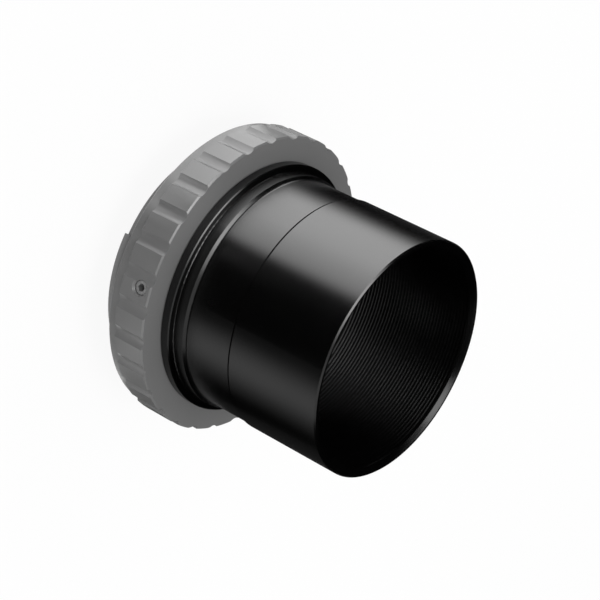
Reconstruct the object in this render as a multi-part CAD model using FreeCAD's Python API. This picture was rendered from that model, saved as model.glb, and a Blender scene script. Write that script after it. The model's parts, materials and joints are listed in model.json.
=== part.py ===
import FreeCAD, Part
import math
import os

# Two-inch nosepiece screwed into a fluted T-ring with a three-lug camera bayonet.
# Lengths are millimetres. +Z is the optical axis, from the camera towards the mouth.
# The origin is on the axis, in the plane of the bayonet's rear end, where the part stands.
# +X runs through the middle of the first grub screw.

# Barrel
barrel_radius = 25.4
barrel_wall = 1.4
nose_tube_length = 22.15
rear_barrel_length = 11.98
mouth_edge_break = 0.3
mouth_face_width = 0.5
mouth_lead_in = 0.7
seam_chamfer = 0.08

# Filter thread that lines the barrel
filter_pitch = 0.75

# Thin screwed joint between the two halves of the barrel
joint_wall = 0.65
joint_length = 4.45
joint_pitch = 0.5

# Relief of the barrel's rear half, which catches a clamp screw, and the groove at the seam
relief_depth = 0.3
seam_groove_depth = 0.25
seam_groove_width = 0.5

# Collar that stops the barrel, and the flange
collar_rise = 0.31
collar_height = 2.5
collar_blend_radius = 0.5
flange_overhang = 1.8
flange_thickness = 2.02
flange_chamfer = 0.2
flange_blend_radius = 0.25

# T thread and its ring
t_thread_radius = 21.0
t_thread_pitch = 0.75
t_thread_length = 5.2
t_neck_length = 0.8
t_spigot_wall = 1.35
thread_ring_proud = 0.05

# Grip ring
register_length = 11.0
land_chamfer = 0.3
flute_count = 30
flute_width = 3.0
flute_depth = 0.65
land_azimuth = 1.8
land_rise = 0.7
rim_length = 2.4
rim_chamfer = 0.3
ledge_thickness = 1.7
ledge_reach = 1.9

# Grub screws
set_screw_count = 3
set_screw_radius = 1.5
set_screw_pitch = 0.5
set_screw_length = 8.6
set_screw_height = 4.5
set_screw_tip_radius = 0.3
set_screw_key_width = 1.5
set_screw_key_depth = 1.8
set_screw_mouth_radius = 1.95
vee_depth = 0.9

# Bayonet
throat_step = 1.3
throat_tube_wall = 2.6
throat_tube_length = 4.9
throat_chamfer = 0.3
plate_width = 5.3
plate_thickness = 2.0
plate_reveal = 1.1
plate_rim_width = 1.55
plate_chamfer = 0.2
lug_count = 3
lug_reach = 1.8
lug_thickness = 1.7
lug_setback = 0.65
lug_chamfer = 0.15
lug_arc = 60.0
lug_start = -13.8
lock_slot_width = 3.2
lock_slot_length = 3.6
lock_slot_depth = 1.4
lock_slot_azimuth = 60.0

# Stop pin, pressed into the throat tube between a lug and the plate
stop_pin_radius = 0.8
stop_pin_reach = 1.1
stop_pin_seat = 1.6
stop_pin_azimuth = 40.0

# Bayonet screws
bayonet_screw_count = 4
bayonet_screw_azimuth = 15.0
bayonet_screw_radius = 1.0
bayonet_screw_length = 4.8
bayonet_head_radius = 1.9
bayonet_head_sink = 0.05
cross_width = 0.5
cross_length = 2.4
cross_depth = 0.6

# Index bead
index_radius = 0.8
index_length = 1.2
index_dome = 0.25
index_azimuth = 180.0
index_margin = 1.0

# Fits
thread_clearance = 0.05
running_clearance = 0.05
screw_clearance = 0.03
seat_clearance = 0.05
tip_clearance = 0.05
vee_side_clearance = 0.1
edge_break = 0.15

# Proportions of a metric thread, as shares of its pitch
thread_depth_share = 0.5413
thread_crest_share = 0.25
thread_root_share = 0.125

# Share of a pitch by which a row of thread rings may miss a whole number
count_tolerance = 0.001

# Places along the axis, from the bayonet's rear end up to the mouth
camera_seat_z = throat_tube_length
rim_z = camera_seat_z + plate_reveal
plate_top_z = camera_seat_z + plate_thickness
thread_ring_z = plate_top_z + ledge_thickness
land_rear_z = rim_z + rim_length
grip_face_z = camera_seat_z + register_length
flange_seat_z = grip_face_z + thread_ring_proud
flange_face_z = flange_seat_z + flange_thickness
collar_z = flange_face_z + collar_height
seam_z = collar_z + rear_barrel_length
mouth_z = seam_z + nose_tube_length
joint_top_z = seam_z + joint_length
set_screw_z = thread_ring_z + set_screw_height

# Radii
filter_depth = thread_depth_share * filter_pitch
filter_root_radius = barrel_radius - barrel_wall
filter_crest_radius = filter_root_radius - filter_depth
joint_crest_radius = filter_root_radius + joint_wall
t_depth = thread_depth_share * t_thread_pitch
t_male_crest_radius = t_thread_radius - thread_clearance
t_male_root_radius = t_male_crest_radius - t_depth
t_bore_radius = t_male_root_radius - t_spigot_wall
throat_radius = t_thread_radius + throat_step
thread_ring_radius = throat_radius + ledge_reach
ring_bore_radius = thread_ring_radius + running_clearance
relief_radius = barrel_radius - relief_depth
seam_floor_radius = relief_radius - seam_groove_depth
collar_radius = barrel_radius + collar_rise
flange_radius = barrel_radius + flange_overhang
throat_tube_radius = throat_radius + throat_tube_wall
lug_radius = throat_tube_radius + lug_reach
plate_radius = throat_tube_radius + plate_width
recess_radius = plate_radius + seat_clearance
rim_radius = recess_radius + plate_rim_width
grip_radius = rim_radius + land_rise
screw_circle_radius = (throat_tube_radius + plate_radius) / 2
vee_floor_radius = thread_ring_radius - vee_depth
set_screw_tip_at = vee_floor_radius + tip_clearance

Z_AXIS = FreeCAD.Vector(0, 0, 1)
X_AXIS = FreeCAD.Vector(1, 0, 0)
ORIGIN = FreeCAD.Vector(0, 0, 0)


def turned(outline):
    """Turn a closed outline of (radius, height) points about the optical axis."""
    points = [FreeCAD.Vector(radius, 0, height) for radius, height in outline]
    face = Part.Face(Part.makePolygon(points + points[:1]))
    return face.revolve(ORIGIN, Z_AXIS, 360)


def blended(shape, radius, height, blend_radius):
    """A turned shape with the round edge at the radius and height blended."""
    edges = [
        edge
        for edge in shape.Edges
        if isinstance(edge.Curve, Part.Circle)
        and math.isclose(edge.Curve.Radius, radius)
        and math.isclose(edge.Curve.Center.z, height)
    ]
    return shape.makeFillet(blend_radius, edges)


def thread_outline(crest_radius, depth_sign, pitch, low, high, datum):
    """Points of a row of thread rings, from low to high, in step with the datum height.

    depth_sign is +1 where the roots lie outside the crests, as in a nut, and -1 on a screw.
    """
    depth = thread_depth_share * pitch
    root_radius = crest_radius + depth_sign * depth
    half_crest = thread_crest_share * pitch / 2
    half_root = thread_root_share * pitch / 2
    first = math.ceil((low + pitch / 2 - datum) / pitch - count_tolerance)
    last = math.floor((high - pitch / 2 - datum) / pitch + count_tolerance)
    points = []
    for step in range(first, last + 1):
        middle = datum + step * pitch
        points.append((crest_radius, middle - pitch / 2 + half_crest))
        points.append((root_radius, middle - half_root))
        points.append((root_radius, middle + half_root))
        points.append((crest_radius, middle + pitch / 2 - half_crest))
    return points


def around(shape, azimuth):
    """A copy of the shape turned about the optical axis by the azimuth in degrees."""
    turned_copy = shape.copy()
    turned_copy.rotate(ORIGIN, Z_AXIS, azimuth)
    return turned_copy


def radial(shape, azimuth, height):
    """A copy of a shape built along +X, turned to the azimuth and raised to the height."""
    placed = around(shape, azimuth)
    placed.translate(FreeCAD.Vector(0, 0, height))
    return placed


def sector(outer_radius, low, high, start, arc):
    """A pie-shaped block between two heights, from the start azimuth through the arc."""
    block = Part.makeCylinder(outer_radius, high - low, FreeCAD.Vector(0, 0, low), Z_AXIS, arc)
    return around(block, start)


def make_nose_tube():
    """Front half of the barrel, lined with the filter thread and socketed at its rear."""
    face_inner_radius = barrel_radius - mouth_edge_break - mouth_face_width
    socket_crest = joint_crest_radius + thread_clearance
    socket_top = joint_top_z + thread_clearance
    outer = [
        (barrel_radius - seam_chamfer, seam_z),
        (barrel_radius, seam_z + seam_chamfer),
        (barrel_radius, mouth_z - mouth_edge_break),
        (barrel_radius - mouth_edge_break, mouth_z),
        (face_inner_radius, mouth_z),
    ]
    bore_top = mouth_z - mouth_lead_in
    lowest_groove = socket_top + filter_pitch / 2
    bore = [(filter_crest_radius, bore_top)]
    bore += reversed(
        thread_outline(filter_crest_radius, 1, filter_pitch, socket_top, bore_top, lowest_groove)
    )
    bore.append((filter_crest_radius, socket_top))
    socket = [(socket_crest, socket_top)]
    socket += reversed(
        thread_outline(socket_crest, 1, joint_pitch, seam_z, socket_top, seam_z)
    )
    socket.append((socket_crest, seam_z))
    return turned(outer + bore + socket)


def make_adapter_body():
    """Rear half of the barrel, stop collar, flange and male T thread."""
    thread_end_z = flange_seat_z - t_thread_length
    neck_z = flange_seat_z - t_neck_length
    collar_bevel = collar_radius - relief_radius
    bevel_top_z = collar_z + collar_bevel
    throat_cone = filter_crest_radius - t_bore_radius
    cone_top_z = flange_face_z + throat_cone
    relief_top_z = seam_z - seam_groove_width
    highest_groove = joint_top_z - filter_pitch / 2
    spigot = [
        (filter_crest_radius, joint_top_z),
        (joint_crest_radius - edge_break, joint_top_z),
        (joint_crest_radius, joint_top_z - edge_break),
    ]
    spigot += reversed(
        thread_outline(joint_crest_radius, -1, joint_pitch, seam_z, joint_top_z - edge_break, seam_z)
    )
    spigot.append((joint_crest_radius, seam_z))
    barrel = [
        (seam_floor_radius, seam_z),
        (seam_floor_radius, relief_top_z),
        (relief_radius, relief_top_z),
        (relief_radius, bevel_top_z),
        (collar_radius, collar_z),
        (collar_radius, flange_face_z),
        (flange_radius - flange_chamfer, flange_face_z),
        (flange_radius, flange_face_z - flange_chamfer),
        (flange_radius, flange_seat_z + edge_break),
        (flange_radius - edge_break, flange_seat_z),
    ]
    male = [
        (t_male_root_radius, flange_seat_z),
        (t_male_root_radius, neck_z),
        (t_male_crest_radius, neck_z - t_depth),
    ]
    tip_z = thread_end_z + edge_break
    male += reversed(
        thread_outline(t_male_crest_radius, -1, t_thread_pitch, tip_z, neck_z - t_depth, thread_end_z)
    )
    male += [
        (t_male_crest_radius, tip_z),
        (t_male_crest_radius - edge_break, thread_end_z),
    ]
    bore = [
        (t_bore_radius, thread_end_z),
        (t_bore_radius, flange_face_z),
        (filter_crest_radius, cone_top_z),
    ]
    bore += thread_outline(
        filter_crest_radius, 1, filter_pitch, cone_top_z, joint_top_z, highest_groove
    )
    body = turned(spigot + barrel + male + bore)
    body = blended(body, relief_radius, bevel_top_z, collar_blend_radius)
    return blended(body, collar_radius, flange_face_z, flange_blend_radius)


def make_thread_ring():
    """Inner ring with the female T thread and the vee groove for the grub screws."""
    vee_half_floor = set_screw_tip_radius + vee_side_clearance
    vee_half_mouth = vee_half_floor + vee_depth
    top_z = flange_seat_z
    outline = [
        (t_thread_radius, thread_ring_z),
        (thread_ring_radius - edge_break, thread_ring_z),
        (thread_ring_radius, thread_ring_z + edge_break),
        (thread_ring_radius, set_screw_z - vee_half_mouth),
        (vee_floor_radius, set_screw_z - vee_half_floor),
        (vee_floor_radius, set_screw_z + vee_half_floor),
        (thread_ring_radius, set_screw_z + vee_half_mouth),
        (thread_ring_radius, top_z - edge_break),
        (thread_ring_radius - edge_break, top_z),
        (t_thread_radius, top_z),
    ]
    outline += reversed(
        thread_outline(t_thread_radius, 1, t_thread_pitch, thread_ring_z, top_z, thread_ring_z)
    )
    return turned(outline)


def make_flutes():
    """The cutters of the shallow grip flutes, which run out over the plain rim behind them."""
    half_width = flute_width / 2
    cutter_radius = (half_width**2 + flute_depth**2) / (2 * flute_depth)
    centre = FreeCAD.Vector(grip_radius - flute_depth + cutter_radius, 0, rim_z)
    cutter = Part.makeCylinder(cutter_radius, grip_face_z, centre, Z_AXIS)
    pitch = 360.0 / flute_count
    first = land_azimuth + pitch / 2
    return [around(cutter, first + number * pitch) for number in range(flute_count)]


def make_grip_ring():
    """Outer fluted ring, bored for the thread ring and recessed for the bayonet plate."""
    outline = [
        (throat_radius, plate_top_z),
        (recess_radius, plate_top_z),
        (recess_radius, rim_z),
        (rim_radius - rim_chamfer, rim_z),
        (rim_radius, rim_z + rim_chamfer),
        (rim_radius, land_rear_z),
        (grip_radius - edge_break, land_rear_z),
        (grip_radius, land_rear_z + edge_break),
        (grip_radius, grip_face_z - land_chamfer),
        (grip_radius - land_chamfer, grip_face_z),
        (ring_bore_radius + edge_break, grip_face_z),
        (ring_bore_radius, grip_face_z - edge_break),
        (ring_bore_radius, thread_ring_z),
        (throat_radius, thread_ring_z),
    ]
    ring = turned(outline).cut(make_flutes())
    hole_radius = set_screw_radius + screw_clearance
    hole_start = FreeCAD.Vector((throat_radius + ring_bore_radius) / 2, 0, 0)
    hole = Part.makeCylinder(hole_radius, grip_radius - throat_radius, hole_start, X_AXIS)
    mouth_depth = set_screw_mouth_radius - hole_radius
    land_at = grip_radius - mouth_depth
    mouth = Part.makeCone(
        hole_radius, hole_radius + 2 * mouth_depth, 2 * mouth_depth, FreeCAD.Vector(land_at, 0, 0), X_AXIS
    )
    cuts = []
    for number in range(set_screw_count):
        azimuth = number * 360.0 / set_screw_count
        cuts.append(radial(hole, azimuth, set_screw_z))
        cuts.append(radial(mouth, azimuth, set_screw_z))
    tapped = Part.makeCylinder(
        bayonet_screw_radius + screw_clearance,
        camera_seat_z + bayonet_screw_length + edge_break - plate_top_z,
        FreeCAD.Vector(screw_circle_radius, 0, plate_top_z),
        Z_AXIS,
    )
    for azimuth in bayonet_screw_azimuths():
        cuts.append(around(tapped, azimuth))
    index_hole = Part.makeCylinder(
        index_radius, index_length, FreeCAD.Vector(grip_radius - index_length, 0, 0), X_AXIS
    )
    cuts.append(radial(index_hole, land_azimuth + index_azimuth, index_z()))
    return ring.cut(cuts)


def bayonet_screw_azimuths():
    """Azimuths of the countersunk screws, in degrees."""
    step = 360.0 / bayonet_screw_count
    return [bayonet_screw_azimuth + number * step for number in range(bayonet_screw_count)]


def index_z():
    """Height of the index bead, near the rear end of a land."""
    return land_rear_z + index_margin


def screw_head_cone(growth):
    """Countersunk head as a cone that opens towards the camera, grown by a clearance."""
    head_radius = bayonet_head_radius + growth
    shank_radius = bayonet_screw_radius + growth
    head_height = bayonet_head_radius - bayonet_screw_radius
    return Part.makeCone(
        head_radius,
        shank_radius,
        head_height,
        FreeCAD.Vector(screw_circle_radius, 0, camera_seat_z + bayonet_head_sink),
        Z_AXIS,
    )


def make_bayonet():
    """Rear plate, throat tube and locking lugs, cut for its screws and the camera's lock pin."""
    outline = [
        (throat_radius, throat_chamfer),
        (throat_radius + throat_chamfer, 0),
        (throat_tube_radius - throat_chamfer, 0),
        (throat_tube_radius, throat_chamfer),
        (throat_tube_radius, camera_seat_z),
        (plate_radius - plate_chamfer, camera_seat_z),
        (plate_radius, camera_seat_z + plate_chamfer),
        (plate_radius, plate_top_z),
        (throat_radius, plate_top_z),
    ]
    shape = turned(outline)
    lug_top = lug_setback + lug_thickness
    root_radius = throat_tube_radius - throat_tube_wall / 2
    lug_ring = turned(
        [
            (root_radius, lug_setback),
            (lug_radius - lug_chamfer, lug_setback),
            (lug_radius, lug_setback + lug_chamfer),
            (lug_radius, lug_top),
            (root_radius, lug_top),
        ]
    )
    reach = 2 * lug_radius
    lugs = []
    for number in range(lug_count):
        start = lug_start + number * 360.0 / lug_count
        lugs.append(lug_ring.common(sector(reach, 0, camera_seat_z, start, lug_arc)))
    shape = shape.fuse(lugs)
    through = Part.makeCylinder(
        bayonet_screw_radius + screw_clearance,
        plate_top_z,
        FreeCAD.Vector(screw_circle_radius, 0, camera_seat_z),
        Z_AXIS,
    )
    clearance_mouth = Part.makeCylinder(
        bayonet_head_radius + screw_clearance,
        bayonet_head_sink,
        FreeCAD.Vector(screw_circle_radius, 0, camera_seat_z),
        Z_AXIS,
    )
    screw_hole = through.fuse([screw_head_cone(screw_clearance), clearance_mouth])
    cuts = [around(screw_hole, azimuth) for azimuth in bayonet_screw_azimuths()]
    half_slot = lock_slot_width / 2
    straight = lock_slot_length - lock_slot_width
    slot_low = FreeCAD.Vector(screw_circle_radius - straight / 2, -half_slot, camera_seat_z)
    slot = Part.makeBox(straight, lock_slot_width, lock_slot_depth, slot_low)
    for end in (-straight / 2, straight / 2):
        centre = FreeCAD.Vector(screw_circle_radius + end, 0, camera_seat_z)
        slot = slot.fuse(Part.makeCylinder(half_slot, lock_slot_depth, centre, Z_AXIS))
    cuts.append(around(slot, lock_slot_azimuth))
    cuts.append(make_stop_pin())
    return shape.cut(cuts).removeSplitter()


def make_stop_pin():
    """Pin that ends the camera's turn, midway between the lugs and the plate."""
    height = (lug_setback + lug_thickness + camera_seat_z) / 2
    start = FreeCAD.Vector(throat_tube_radius - stop_pin_seat, 0, 0)
    pin = Part.makeCylinder(stop_pin_radius, stop_pin_seat + stop_pin_reach, start, X_AXIS)
    return radial(pin, stop_pin_azimuth, height)


def make_bayonet_screw(azimuth):
    """Countersunk screw with a cross recess, head towards the camera."""
    head_z = camera_seat_z + bayonet_head_sink
    shank_z = head_z + bayonet_head_radius - bayonet_screw_radius
    end_z = camera_seat_z + bayonet_screw_length
    outline = [
        (0, head_z),
        (bayonet_head_radius, head_z),
        (bayonet_screw_radius, shank_z),
        (bayonet_screw_radius, end_z - edge_break),
        (bayonet_screw_radius - edge_break, end_z),
        (0, end_z),
    ]
    screw = turned(outline)
    long_half = cross_length / 2
    wide_half = cross_width / 2
    one_low = FreeCAD.Vector(-long_half, -wide_half, head_z)
    other_low = FreeCAD.Vector(-wide_half, -long_half, head_z)
    one = Part.makeBox(cross_length, cross_width, cross_depth, one_low)
    other = Part.makeBox(cross_width, cross_length, cross_depth, other_low)
    screw = screw.cut([one, other])
    screw.translate(FreeCAD.Vector(screw_circle_radius, 0, 0))
    return around(screw, azimuth)


def make_set_screw(azimuth):
    """Grub screw with a cone point in the vee groove and a hexagon socket outside."""
    depth = thread_depth_share * set_screw_pitch
    core_radius = set_screw_radius - depth
    point_length = core_radius - set_screw_tip_radius
    body_end = set_screw_length - edge_break
    outline = [
        (0, 0),
        (set_screw_tip_radius, 0),
        (core_radius, point_length),
        (set_screw_radius, point_length + depth),
    ]
    outline += thread_outline(
        set_screw_radius, -1, set_screw_pitch, point_length + depth, body_end, 0
    )
    outline += [
        (set_screw_radius, body_end),
        (set_screw_radius - edge_break, set_screw_length),
        (0, set_screw_length),
    ]
    screw = turned(outline)
    corner_radius = set_screw_key_width / math.sqrt(3)
    socket_z = set_screw_length - set_screw_key_depth
    corners = []
    for number in range(6):
        angle = math.radians(60 * number)
        corners.append(
            FreeCAD.Vector(corner_radius * math.cos(angle), corner_radius * math.sin(angle), socket_z)
        )
    socket = Part.Face(Part.makePolygon(corners + corners[:1]))
    screw = screw.cut(socket.extrude(FreeCAD.Vector(0, 0, set_screw_key_depth)))
    screw.rotate(ORIGIN, FreeCAD.Vector(0, 1, 0), 90)
    screw.translate(FreeCAD.Vector(set_screw_tip_at, 0, 0))
    return radial(screw, azimuth, set_screw_z)


def make_index_bead():
    """Small domed bead pressed into a land, its top level with the land."""
    stand_radius = grip_radius - index_length
    dome_ball_radius = (index_radius**2 + index_dome**2) / (2 * index_dome)
    stem = Part.makeCylinder(index_radius, index_length, FreeCAD.Vector(stand_radius, 0, 0), X_AXIS)
    ball_centre = FreeCAD.Vector(grip_radius - dome_ball_radius, 0, 0)
    bead = stem.common(Part.makeSphere(dome_ball_radius, ball_centre))
    return radial(bead, land_azimuth + index_azimuth, index_z())


def make_parts():
    """Every piece of the adapter by the name of its node."""
    parts = {
        "nose_tube": make_nose_tube(),
        "adapter_body": make_adapter_body(),
        "thread_ring": make_thread_ring(),
        "grip_ring": make_grip_ring(),
        "bayonet": make_bayonet(),
        "stop_pin": make_stop_pin(),
        "index_bead": make_index_bead(),
    }
    for number, azimuth in enumerate(bayonet_screw_azimuths(), start=1):
        parts[f"bayonet_screw_{number}"] = make_bayonet_screw(azimuth)
    for number in range(set_screw_count):
        azimuth = number * 360.0 / set_screw_count
        parts[f"set_screw_{number + 1}"] = make_set_screw(azimuth)
    return parts


os.makedirs("parts", exist_ok=True)
for name, shape in make_parts().items():
    shape.exportStep(f"parts/{name}.step")
    print(name, "solids", len(shape.Solids), "valid", shape.isValid(), "volume", round(shape.Volume, 2))
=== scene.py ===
"""Looks of a two-inch telescope nosepiece screwed into a fluted T-ring.

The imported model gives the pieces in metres, with +Z along the optical axis from the camera to the
mouth of the barrel and +X through the first grub screw. This script gives every piece its finish,
stands the adapter on a pale floor under soft light and sets the camera at the photograph's angle.
"""

from __future__ import annotations

import json
import logging
import math
from dataclasses import dataclass
from enum import Enum

import bmesh
import bpy
from mathutils import Matrix, Quaternion, Vector

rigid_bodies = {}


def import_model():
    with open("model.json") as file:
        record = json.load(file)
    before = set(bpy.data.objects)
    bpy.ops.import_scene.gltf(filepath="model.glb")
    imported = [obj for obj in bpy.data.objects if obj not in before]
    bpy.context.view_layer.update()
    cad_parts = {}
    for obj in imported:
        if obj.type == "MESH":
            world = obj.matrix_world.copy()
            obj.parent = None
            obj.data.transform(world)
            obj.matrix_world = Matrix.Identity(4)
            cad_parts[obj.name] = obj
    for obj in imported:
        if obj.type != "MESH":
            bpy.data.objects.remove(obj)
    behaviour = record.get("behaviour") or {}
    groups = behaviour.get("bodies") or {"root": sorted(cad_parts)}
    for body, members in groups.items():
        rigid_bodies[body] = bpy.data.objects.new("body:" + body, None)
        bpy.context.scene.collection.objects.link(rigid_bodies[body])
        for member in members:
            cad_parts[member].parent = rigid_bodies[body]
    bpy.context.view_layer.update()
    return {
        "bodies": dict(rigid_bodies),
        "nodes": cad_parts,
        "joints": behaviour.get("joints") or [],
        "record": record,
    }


LOG = logging.getLogger("adapter")
MM = 0.001
OPTICAL_AXIS = (0.0, 0.0, 1.0)

Socket = bpy.types.NodeSocket


class Slot(Enum):
    """Material slots of the adapter's record."""

    BLACK = "black_anodised"
    GREY = "grey_anodised"
    BRIGHT = "bright_metal"
    STEEL = "black_steel"
    PAINT = "index_paint"


class Lay(Enum):
    """How the tool marks of a surface run."""

    TURNED = "turned"
    PLAIN = "plain"


class NodeSketch:
    """The node tree of a material or a world, built by short calls."""

    def __init__(self, block: bpy.types.Material | bpy.types.World) -> None:
        """Start an empty tree.

        Args:
            block: the new material or world.
        """
        self.block = block
        self.block.use_nodes = True
        self.tree = self.block.node_tree
        self.tree.nodes.clear()

    @classmethod
    def of_material(cls, name: str) -> NodeSketch:
        """Start the tree of a new material with the name."""
        return cls(bpy.data.materials.new(name))

    def node(self, kind: str, **settings: object) -> bpy.types.Node:
        """Add a node.

        Args:
            kind: the node's type, without its Shader prefix.
            settings: attributes of the node to set.

        Returns:
            The new node.
        """
        made = self.tree.nodes.new(f"ShaderNode{kind}")
        for key, value in settings.items():
            setattr(made, key, value)
        return made

    def join(self, source: Socket, target: Socket) -> None:
        """Link an output to an input."""
        self.tree.links.new(source, target)

    def surface(self, source: Socket) -> None:
        """Make a shader's output the surface of the material or world."""
        kind = "OutputWorld" if isinstance(self.block, bpy.types.World) else "OutputMaterial"
        self.join(source, self.node(kind).inputs["Surface"])

    def math(self, operation: str, *inputs: Socket | float) -> Socket:
        """Add a Math node.

        Args:
            operation: the node's operation.
            inputs: sockets to link or numbers to set, in order.

        Returns:
            The node's output.
        """
        made = self.node("Math", operation=operation)
        self._fill(made, inputs)
        return made.outputs["Value"]

    def vector_math(self, operation: str, *inputs: Socket | Vector) -> Socket:
        """Add a Vector Math node.

        Args:
            operation: the node's operation.
            inputs: sockets to link or vectors to set, in order.

        Returns:
            The node's vector output.
        """
        made = self.node("VectorMath", operation=operation)
        self._fill(made, inputs)
        return made.outputs["Vector"]

    def mapped(self, value: Socket, low: float, high: float) -> Socket:
        """Stretch a value from 0..1 to low..high.

        Args:
            value: the socket to stretch.
            low: result at 0.
            high: result at 1.

        Returns:
            The stretched value.
        """
        made = self.node("MapRange")
        self.join(value, made.inputs["Value"])
        made.inputs["To Min"].default_value = low
        made.inputs["To Max"].default_value = high
        return made.outputs["Result"]

    def seen(self) -> Socket:
        """Tell rays that see the surface, which are camera, glossy and transmission rays.

        Returns:
            1 for such a ray and 0 for any other.
        """
        rays = self.node("LightPath").outputs
        seen = self.math("MAXIMUM", rays["Is Camera Ray"], rays["Is Glossy Ray"])
        return self.math("MAXIMUM", seen, rays["Is Transmission Ray"])

    def _fill(self, made: bpy.types.Node, inputs: tuple[Socket | Vector | float, ...]) -> None:
        """Link or set a node's first inputs in order.

        Args:
            made: the node.
            inputs: sockets to link or values to set.
        """
        for place, value in enumerate(inputs):
            if isinstance(value, Socket):
                self.join(value, made.inputs[place])
            else:
                made.inputs[place].default_value = value


@dataclass(frozen=True)
class MetalFinish:
    """A metal surface: its colour, its gloss and the fine marks that the tools left in it.

    A cloud is a patch where the dye and the gloss differ a little from the next one. Inside
    bore_radius, where there is one, the roughness is bore_roughness.
    """

    name: str
    colour: tuple[float, float, float]
    roughness: float
    ior: float
    metallic: float = 0.0
    anisotropy: float = 0.0
    lay: Lay = Lay.TURNED
    line_spacing: float = 0.16 * MM
    line_depth: float = 0.0006 * MM
    line_octaves: float = 3.0
    grain_size: float = 0.12 * MM
    grain_depth: float = 0.0012 * MM
    grain_octaves: float = 2.0
    cloud_size: float = 9.0 * MM
    cloud_octaves: float = 2.0
    cloud_share: float = 0.12
    cloud_gloss: float = 0.03
    bore_radius: float = 0.0
    bore_roughness: float = 0.0

    def build(self) -> bpy.types.Material:
        """Build the finish.

        Returns:
            The new material.
        """
        sketch = NodeSketch.of_material(self.name)
        place = sketch.node("TexCoord").outputs["Object"]
        parts = sketch.node("SeparateXYZ")
        sketch.join(place, parts.inputs[0])
        shader = sketch.node("BsdfPrincipled")
        shader.inputs["IOR"].default_value = self.ior
        shader.inputs["Metallic"].default_value = self.metallic
        shader.inputs["Anisotropic"].default_value = self.anisotropy
        cloud = self._noise(sketch, place, self.cloud_size, self.cloud_octaves)
        sketch.join(self._gloss(sketch, cloud, parts), shader.inputs["Roughness"])
        sketch.join(self._colour(sketch, cloud), shader.inputs["Base Color"])
        sketch.join(self._relief(sketch, place, parts), shader.inputs["Normal"])
        if self.lay is Lay.TURNED and self.anisotropy:
            sketch.join(self._across_lines(sketch, place), shader.inputs["Tangent"])
        sketch.surface(shader.outputs["BSDF"])
        return sketch.block

    def _noise(self, sketch: NodeSketch, vector: Socket, size: float, octaves: float) -> Socket:
        """Noise whose patches have the given size in metres.

        Args:
            sketch: the tree to add to.
            vector: where to read the noise.
            size: width of a patch.
            octaves: octaves of finer noise.

        Returns:
            The noise value.
        """
        made = sketch.node("TexNoise")
        made.inputs["Scale"].default_value = 1.0 / size
        made.inputs["Detail"].default_value = octaves
        sketch.join(vector, made.inputs["Vector"])
        return made.outputs["Fac"]

    def _colour(self, sketch: NodeSketch, cloud: Socket) -> Socket:
        """The dye's colour, a little uneven from place to place.

        Args:
            sketch: the tree to add to.
            cloud: the noise that tells the clouds apart.

        Returns:
            The colour.
        """
        mix = sketch.node("Mix", data_type="RGBA")
        darker = [value * (1.0 - self.cloud_share) for value in self.colour]
        lighter = [value * (1.0 + self.cloud_share) for value in self.colour]
        mix.inputs["A"].default_value = (*darker, 1.0)
        mix.inputs["B"].default_value = (*lighter, 1.0)
        sketch.join(cloud, mix.inputs["Factor"])
        return mix.outputs["Result"]

    def _gloss(self, sketch: NodeSketch, cloud: Socket, parts: bpy.types.Node) -> Socket:
        """The roughness, a little uneven, and lower in the bore, where a thread is cut.

        Args:
            sketch: the tree to add to.
            cloud: the noise that tells the clouds apart.
            parts: the node that splits the place into X, Y and Z.

        Returns:
            The roughness.
        """
        low = self.roughness - self.cloud_gloss
        high = self.roughness + self.cloud_gloss
        gloss = sketch.mapped(cloud, low, high)
        if not self.bore_radius:
            return gloss
        outside = sketch.math("GREATER_THAN", self._radius(sketch, parts), self.bore_radius)
        spread = sketch.math("SUBTRACT", gloss, self.bore_roughness)
        return sketch.math("MULTIPLY_ADD", spread, outside, self.bore_roughness)

    def _relief(self, sketch: NodeSketch, place: Socket, parts: bpy.types.Node) -> Socket:
        """The turning lines and the blasted grain as a bumped normal.

        Args:
            sketch: the tree to add to.
            place: the place on the piece.
            parts: the node that splits the place into X, Y and Z.

        Returns:
            The normal.
        """
        grain = self._noise(sketch, place, self.grain_size, self.grain_octaves)
        height = sketch.math("MULTIPLY", grain, self.grain_depth)
        if self.lay is Lay.TURNED:
            profile = sketch.node("CombineXYZ")
            sketch.join(self._radius(sketch, parts), profile.inputs["X"])
            sketch.join(parts.outputs["Z"], profile.inputs["Y"])
            lines = self._noise(sketch, profile.outputs[0], self.line_spacing, self.line_octaves)
            height = sketch.math("ADD", height, sketch.math("MULTIPLY", lines, self.line_depth))
        bump = sketch.node("Bump")
        bump.inputs["Strength"].default_value = 1.0
        bump.inputs["Distance"].default_value = 1.0
        sketch.join(height, bump.inputs["Height"])
        return bump.outputs["Normal"]

    def _radius(self, sketch: NodeSketch, parts: bpy.types.Node) -> Socket:
        """Distance from the optical axis.

        Args:
            sketch: the tree to add to.
            parts: the node that splits the place into X, Y and Z.

        Returns:
            The distance in metres.
        """
        square_x = sketch.math("MULTIPLY", parts.outputs["X"], parts.outputs["X"])
        square_y = sketch.math("MULTIPLY", parts.outputs["Y"], parts.outputs["Y"])
        return sketch.math("SQRT", sketch.math("ADD", square_x, square_y))

    def _across_lines(self, sketch: NodeSketch, place: Socket) -> Socket:
        """The direction in the surface that crosses the turning lines.

        Args:
            sketch: the tree to add to.
            place: the place on the piece.

        Returns:
            The direction.
        """
        along = sketch.vector_math("CROSS_PRODUCT", Vector(OPTICAL_AXIS), place)
        normal = sketch.node("NewGeometry").outputs["Normal"]
        return sketch.vector_math("CROSS_PRODUCT", normal, along)


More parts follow.
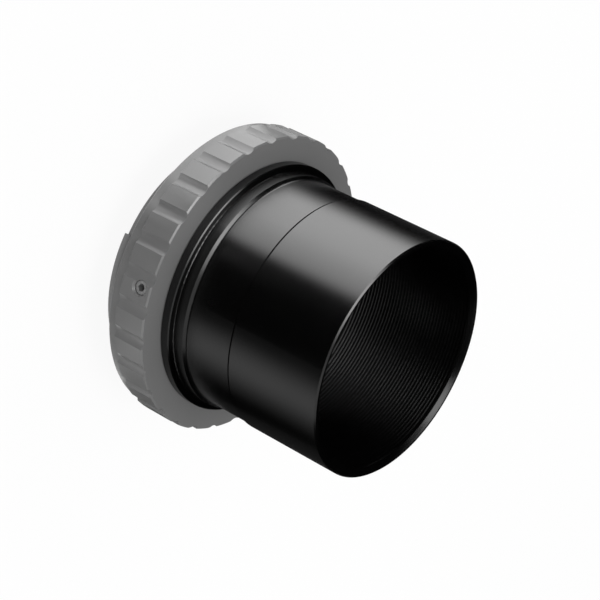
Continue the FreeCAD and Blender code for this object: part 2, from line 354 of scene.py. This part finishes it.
FINISHES = {
    Slot.BLACK: MetalFinish(
        "black_anodised_turned",
        colour=(0.0004, 0.0004, 0.00045),
        roughness=0.262,
        ior=1.65,
        anisotropy=0.63,
        bore_radius=24.3 * MM,
        bore_roughness=0.21,
    ),
    Slot.GREY: MetalFinish(
        "grey_anodised_turned",
        colour=(0.18, 0.18, 0.18),
        roughness=0.30,
        ior=1.65,
        anisotropy=0.5,
        cloud_share=0.04,
    ),
    Slot.BRIGHT: MetalFinish(
        "bright_metal_turned",
        colour=(0.22, 0.22, 0.22),
        roughness=0.32,
        ior=1.5,
        metallic=0.4,
        anisotropy=0.5,
        cloud_share=0.05,
    ),
    Slot.STEEL: MetalFinish(
        "black_steel",
        colour=(0.24, 0.24, 0.24),
        roughness=0.34,
        ior=1.6,
        lay=Lay.PLAIN,
    ),
    Slot.PAINT: MetalFinish(
        "index_paint",
        colour=(0.55, 0.03, 0.03),
        roughness=0.22,
        ior=1.5,
        lay=Lay.PLAIN,
        cloud_share=0.05,
    ),
}


@dataclass
class PhotoCamera:
    """The camera at the photograph's angle, given by where it stands round the adapter."""

    azimuth: float = -18.49
    elevation: float = 32.16
    roll: float = 117.02
    distance: float = 0.43035
    aim: tuple[float, float, float] = (-0.000549, -0.001638, 0.02774)
    lens: float = 127.5
    sensor: float = 36.0
    nearest: float = 0.01
    farthest: float = 20.0

    def place(self) -> bpy.types.Object:
        """Make the camera and look through it.

        Returns:
            The camera object.
        """
        data = bpy.data.cameras.new("photo_camera")
        data.lens = self.lens
        data.sensor_width = self.sensor
        data.clip_start = self.nearest
        data.clip_end = self.farthest
        camera = bpy.data.objects.new("photo_camera", data)
        bpy.context.scene.collection.objects.link(camera)
        back = direction(self.azimuth, self.elevation)
        turn = facing(-back)
        roll = Matrix.Rotation(math.radians(self.roll), 4, "Z")
        spot = Vector(self.aim) + back * self.distance
        camera.matrix_world = Matrix.Translation(spot) @ turn.to_matrix().to_4x4() @ roll
        bpy.context.scene.camera = camera
        return camera


def facing(ahead: Vector) -> Quaternion:
    """The turn of a camera or light that looks ahead, upright."""
    return ahead.to_track_quat("-Z", "Y")


def direction(azimuth: float, elevation: float) -> Vector:
    """Unit vector towards a place in the studio.

    Args:
        azimuth: degrees round the optical axis from +X.
        elevation: degrees above the floor.

    Returns:
        The vector.
    """
    flat = math.cos(math.radians(elevation))
    return Vector(
        (
            flat * math.cos(math.radians(azimuth)),
            flat * math.sin(math.radians(azimuth)),
            math.sin(math.radians(elevation)),
        )
    )


@dataclass(frozen=True)
class Softbox:
    """A rectangular soft light that faces the adapter."""

    name: str
    azimuth: float
    elevation: float
    distance: float
    width: float
    height: float
    radiance: float
    glossy: bool = True
    diffuse: bool = True

    def place(self, target: Vector) -> bpy.types.Object:
        """Make the light.

        Args:
            target: the point that it faces.

        Returns:
            The light object.
        """
        data = bpy.data.lights.new(self.name, "AREA")
        data.shape = "RECTANGLE"
        data.size = self.width
        data.size_y = self.height
        data.energy = self.radiance * math.pi * self.width * self.height
        light = bpy.data.objects.new(self.name, data)
        bpy.context.scene.collection.objects.link(light)
        back = direction(self.azimuth, self.elevation)
        light.location = target + back * self.distance
        light.rotation_mode = "QUATERNION"
        light.rotation_quaternion = facing(-back)
        light.visible_camera = False
        light.visible_glossy = self.glossy
        light.visible_diffuse = self.diffuse
        LOG.info("set up %s", self.name)
        return light


@dataclass(frozen=True)
class FloorCard:
    """A sector of card on the floor, seen only in the metal's gloss: a light panel or a dark flag.

    glows gives the card's brightness at azimuths about its centre, in degrees and rising order.
    """

    name: str
    centre: tuple[float, float]
    inner: float
    outer: float
    height: float
    glows: tuple[tuple[float, float], ...]
    facets: int = 64

    def place(self) -> bpy.types.Object:
        """Make the card.

        Returns:
            The card object.
        """
        start, end = self.glows[0][0], self.glows[-1][0]
        shape = bmesh.new()
        middle = Vector((*self.centre, 0.0))
        near = shape.verts.new(middle + direction(start, 0.0) * self.inner)
        far = shape.verts.new(middle + direction(start, 0.0) * self.outer)
        edge = shape.edges.new((near, far))
        bmesh.ops.spin(
            shape,
            geom=[near, far, edge],
            cent=middle,
            axis=OPTICAL_AXIS,
            angle=math.radians(end - start),
            steps=self.facets,
        )
        bmesh.ops.translate(shape, verts=shape.verts, vec=(0.0, 0.0, self.height))
        card = add_mesh(self.name, shape, self._surface())
        show_only_in_gloss(card)
        return card

    def _surface(self) -> bpy.types.Material:
        """The card's glow, blended between its azimuths.

        Returns:
            The new material.
        """
        sketch = NodeSketch.of_material(f"{self.name}_glow")
        place = sketch.node("SeparateXYZ")
        sketch.join(sketch.node("TexCoord").outputs["Object"], place.inputs[0])
        across = sketch.math("SUBTRACT", place.outputs["X"], self.centre[0])
        along = sketch.math("SUBTRACT", place.outputs["Y"], self.centre[1])
        azimuth = sketch.math("ARCTAN2", along, across)
        start, end = self.glows[0][0], self.glows[-1][0]
        share = sketch.node("MapRange")
        sketch.join(azimuth, share.inputs["Value"])
        share.inputs["From Min"].default_value = math.radians(start)
        share.inputs["From Max"].default_value = math.radians(end)
        brightest = max(glow for _, glow in self.glows)
        ramp = sketch.node("ValToRGB")
        stops = ramp.color_ramp.elements
        while len(stops) < len(self.glows):
            stops.new(1.0)
        for stop, (angle, glow) in zip(stops, self.glows):
            stop.position = (angle - start) / (end - start)
            stop.color = (glow / brightest,) * 3 + (1.0,)
        sketch.join(share.outputs["Result"], ramp.inputs["Fac"])
        emission = sketch.node("Emission")
        emission.inputs["Strength"].default_value = brightest
        sketch.join(ramp.outputs["Color"], emission.inputs["Color"])
        sketch.surface(emission.outputs["Emission"])
        sketch.block.cycles.emission_sampling = "NONE"
        return sketch.block


def add_mesh(name: str, shape: bmesh.types.BMesh, material: bpy.types.Material) -> bpy.types.Object:
    """Turn a bmesh into an object of the set.

    Args:
        name: name of the object and its mesh.
        shape: the bmesh, which is freed.
        material: the object's only material.

    Returns:
        The new object.
    """
    mesh = bpy.data.meshes.new(name)
    shape.to_mesh(mesh)
    shape.free()
    mesh.materials.append(material)
    made = bpy.data.objects.new(name, mesh)
    bpy.context.scene.collection.objects.link(made)
    LOG.info("set up %s", name)
    return made


def show_only_in_gloss(card: bpy.types.Object) -> None:
    """Hide a card or the tent from everything but reflections.

    Args:
        card: the object to hide.
    """
    card.visible_camera = False
    card.visible_diffuse = False
    card.visible_transmission = False
    card.visible_volume_scatter = False
    card.visible_shadow = False


@dataclass
class Studio:
    """Pale floor, even surroundings, soft lights, and the cards and tent that shape the gloss."""

    floor_radius: float = 6.0
    floor_facets: int = 96
    floor_colour: float = 0.85
    floor_glow_share: float = 0.92
    surround: float = 0.72
    tent_radius: float = 1.6
    tent_facets: tuple[int, int] = (48, 24)
    dark_glow: float = 0.004
    target: tuple[float, float, float] = (0.0, 0.0, 0.03)
    foot_radius: float = 0.0361
    flag_height: float = 0.0006
    panel_height: float = 0.0009
    near_height: float = 0.0012

    def softboxes(self) -> list[Softbox]:
        """The soft lights.

        The key and its wider spread lie on each other, so that the light falls off towards its
        edges. The lights with diffuse off only shape the highlights.

        Returns:
            The lights.
        """
        return [
            Softbox(
                "key_softbox",
                azimuth=-59.0,
                elevation=52.0,
                distance=0.54,
                width=0.28,
                height=0.34,
                radiance=2.7,
                diffuse=False,
            ),
            Softbox(
                "key_spread",
                azimuth=-57.0,
                elevation=52.0,
                distance=0.55,
                width=0.56,
                height=0.34,
                radiance=2.9,
                diffuse=False,
            ),
            Softbox(
                "fill_softbox",
                azimuth=30.0,
                elevation=48.0,
                distance=0.56,
                width=0.75,
                height=0.3,
                radiance=0.68,
                diffuse=False,
            ),
            Softbox(
                "overhead_strip",
                azimuth=-75.0,
                elevation=79.0,
                distance=0.58,
                width=0.22,
                height=0.2,
                radiance=2.6,
                diffuse=False,
            ),
            Softbox(
                "top_softbox",
                azimuth=0.0,
                elevation=90.0,
                distance=0.6,
                width=0.4,
                height=0.4,
                radiance=3.45,
                glossy=False,
            ),
        ]

    def cards(self) -> list[FloorCard]:
        """The cards on the floor, from the lowest up."""
        return [self._dark_flag(), *self._panels(), *self._near_panels()]

    def _dark_flag(self) -> FloorCard:
        """The dark flag that surrounds the adapter and pales behind it.

        Returns:
            The card.
        """
        dark = self.dark_glow
        glows = (
            (-180.0, 0.12), (-168.0, 0.09), (-158.0, 0.04), (-140.0, dark), (90.0, dark),
            (98.0, 0.03), (120.0, 0.03), (135.0, 0.06), (180.0, 0.12),
        )
        return FloorCard(
            "dark_flag",
            centre=(0.0, 0.0),
            inner=0.036,
            outer=1.2,
            height=self.flag_height,
            glows=glows,
        )

    def _panels(self) -> list[FloorCard]:
        """The light panels that the barrel mirrors as its bright stripe and its dim one.

        Returns:
            The two cards.
        """
        dark = self.dark_glow
        bright = (
            (-142.0, 0.03), (-135.0, 0.5), (-129.0, 1.9), (-122.0, 3.3), (-114.0, 3.65),
            (-98.0, 4.1), (-88.0, 4.17), (-78.0, 3.7), (-60.0, 2.85), (-56.0, 2.6),
            (-51.5, 1.5), (-46.0, 0.1), (-43.0, dark),
        )
        dim = (
            (16.0, 0.01), (24.0, 0.05), (32.0, 0.15), (38.0, 0.32), (44.0, 0.49), (52.0, 0.64),
            (60.0, 0.62), (68.0, 0.45), (76.0, 0.22), (84.0, 0.08), (90.0, 0.03),
        )
        size = {"inner": 0.030, "outer": 0.40, "height": self.panel_height}
        return [
            FloorCard("light_panel", centre=(0.0193, -0.0109), glows=bright, **size),
            FloorCard("side_panel", centre=(0.0196, -0.0009), glows=dim, **size),
        ]

    def _near_panels(self) -> list[FloorCard]:
        """The light panels close to the ring, which its lands, flutes and rim mirror.

        Returns:
            The three cards.
        """
        dark = self.dark_glow
        edge = ((-145.0, 1.1), (-130.0, 0.9), (-117.0, 0.7), (-111.0, 0.45))
        near = (
            (-111.0, 0.45), (-103.0, 0.6), (-97.0, 2.2), (-85.0, 2.7), (-60.0, 2.8),
            (-46.0, 2.6), (-43.0, 1.6), (-37.0, 1.0), (-32.0, 1.8), (-24.0, dark),
        )
        foot = (
            (-90.0, 1.2), (-73.0, 1.4), (-63.0, 1.3), (-43.0, 1.6), (-36.0, 1.3), (-28.0, 0.8),
            (-22.0, 0.36), (10.0, 0.36), (20.0, 0.55), (30.0, 0.9), (45.0, 1.3), (60.0, 1.8),
        )
        foot_rim = self.foot_radius
        place = {"centre": (0.0, 0.0), "height": self.near_height}
        return [
            FloorCard("near_edge", inner=foot_rim, outer=0.0445, glows=edge, **place),
            FloorCard("near_panel", inner=foot_rim, outer=0.0497, glows=near, **place),
            FloorCard("foot_panel", inner=0.0275, outer=foot_rim, glows=foot, **place),
        ]

    def build(self) -> None:
        """Build the surroundings, the floor, the cards, the tent and the lights."""
        self._surround()
        self._floor()
        for card in self.cards():
            card.place()
        self._tent()
        for box in self.softboxes():
            box.place(Vector(self.target))

    def _surround(self) -> None:
        """An even pale world, white where it is seen."""
        world = bpy.data.worlds.new("surround")
        sketch = NodeSketch(world)
        glow = sketch.node("Background")
        glow.inputs["Color"].default_value = (1.0, 1.0, 1.0, 1.0)
        level = sketch.mapped(sketch.seen(), self.surround, 1.0)
        sketch.join(level, glow.inputs["Strength"])
        sketch.surface(glow.outputs["Background"])
        world.cycles.sampling_method = "NONE"
        bpy.context.scene.world = world

    def _floor(self) -> None:
        """A wide pale floor that keeps the adapter's shadow."""
        sketch = NodeSketch.of_material("pale_floor")
        paper = sketch.node("BsdfDiffuse")
        paper.inputs["Color"].default_value = (self.floor_colour,) * 3 + (1.0,)
        glow = sketch.node("Emission")
        mix = sketch.node("MixShader")
        sketch.join(sketch.math("MULTIPLY", sketch.seen(), self.floor_glow_share), mix.inputs["Fac"])
        sketch.join(paper.outputs["BSDF"], mix.inputs[1])
        sketch.join(glow.outputs["Emission"], mix.inputs[2])
        sketch.surface(mix.outputs["Shader"])
        sketch.block.cycles.emission_sampling = "NONE"
        shape = bmesh.new()
        bmesh.ops.create_circle(
            shape, cap_ends=True, radius=self.floor_radius, segments=self.floor_facets
        )
        add_mesh("floor", shape, sketch.block)

    def _tent(self) -> bpy.types.Object:
        """A dark tent over the set, seen only in the metal's gloss.

        Returns:
            The tent.
        """
        shape = bmesh.new()
        around, upwards = self.tent_facets
        bmesh.ops.create_uvsphere(
            shape, u_segments=around, v_segments=upwards, radius=self.tent_radius
        )
        bmesh.ops.bisect_plane(
            shape,
            geom=[*shape.verts, *shape.edges, *shape.faces],
            plane_co=(0.0, 0.0, 0.0),
            plane_no=OPTICAL_AXIS,
            clear_inner=True,
        )
        tent = add_mesh("tent", shape, self._cloth())
        show_only_in_gloss(tent)
        return tent

    def _cloth(self) -> bpy.types.Material:
        """The tent's dark cloth.

        Returns:
            The new material.
        """
        sketch = NodeSketch.of_material("dark_cloth")
        glow = sketch.node("Emission")
        glow.inputs["Color"].default_value = (self.dark_glow,) * 3 + (1.0,)
        sketch.surface(glow.outputs["Emission"])
        sketch.block.cycles.emission_sampling = "NONE"
        return sketch.block


class Adapter:
    """The adapter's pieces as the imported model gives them, dressed in their finishes."""

    def __init__(self, frame: dict) -> None:
        """Keep the frame's pieces and the slot of each."""
        self.nodes: dict[str, bpy.types.Object] = frame["nodes"]
        self.slots = {row["node"]: Slot(row["material_slot"]) for row in frame["record"]["subparts"]}

    def dress(self) -> None:
        """Give every node of the frame its finish."""
        made = {slot: finish.build() for slot, finish in FINISHES.items()}
        for name, piece in self.nodes.items():
            piece.data.materials.clear()
            piece.data.materials.append(made[self.slots[name]])
            LOG.info("dressed %s in %s", name, self.slots[name].value)


def main() -> None:
    """Load the model, dress it and set the studio up round it."""
    logging.basicConfig(level=logging.INFO, format="%(name)s: %(message)s")
    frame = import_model()
    bpy.context.scene.view_settings.view_transform = "Standard"
    PhotoCamera().place()
    Adapter(frame).dress()
    Studio().build()


if __name__ == "__main__":
    main()
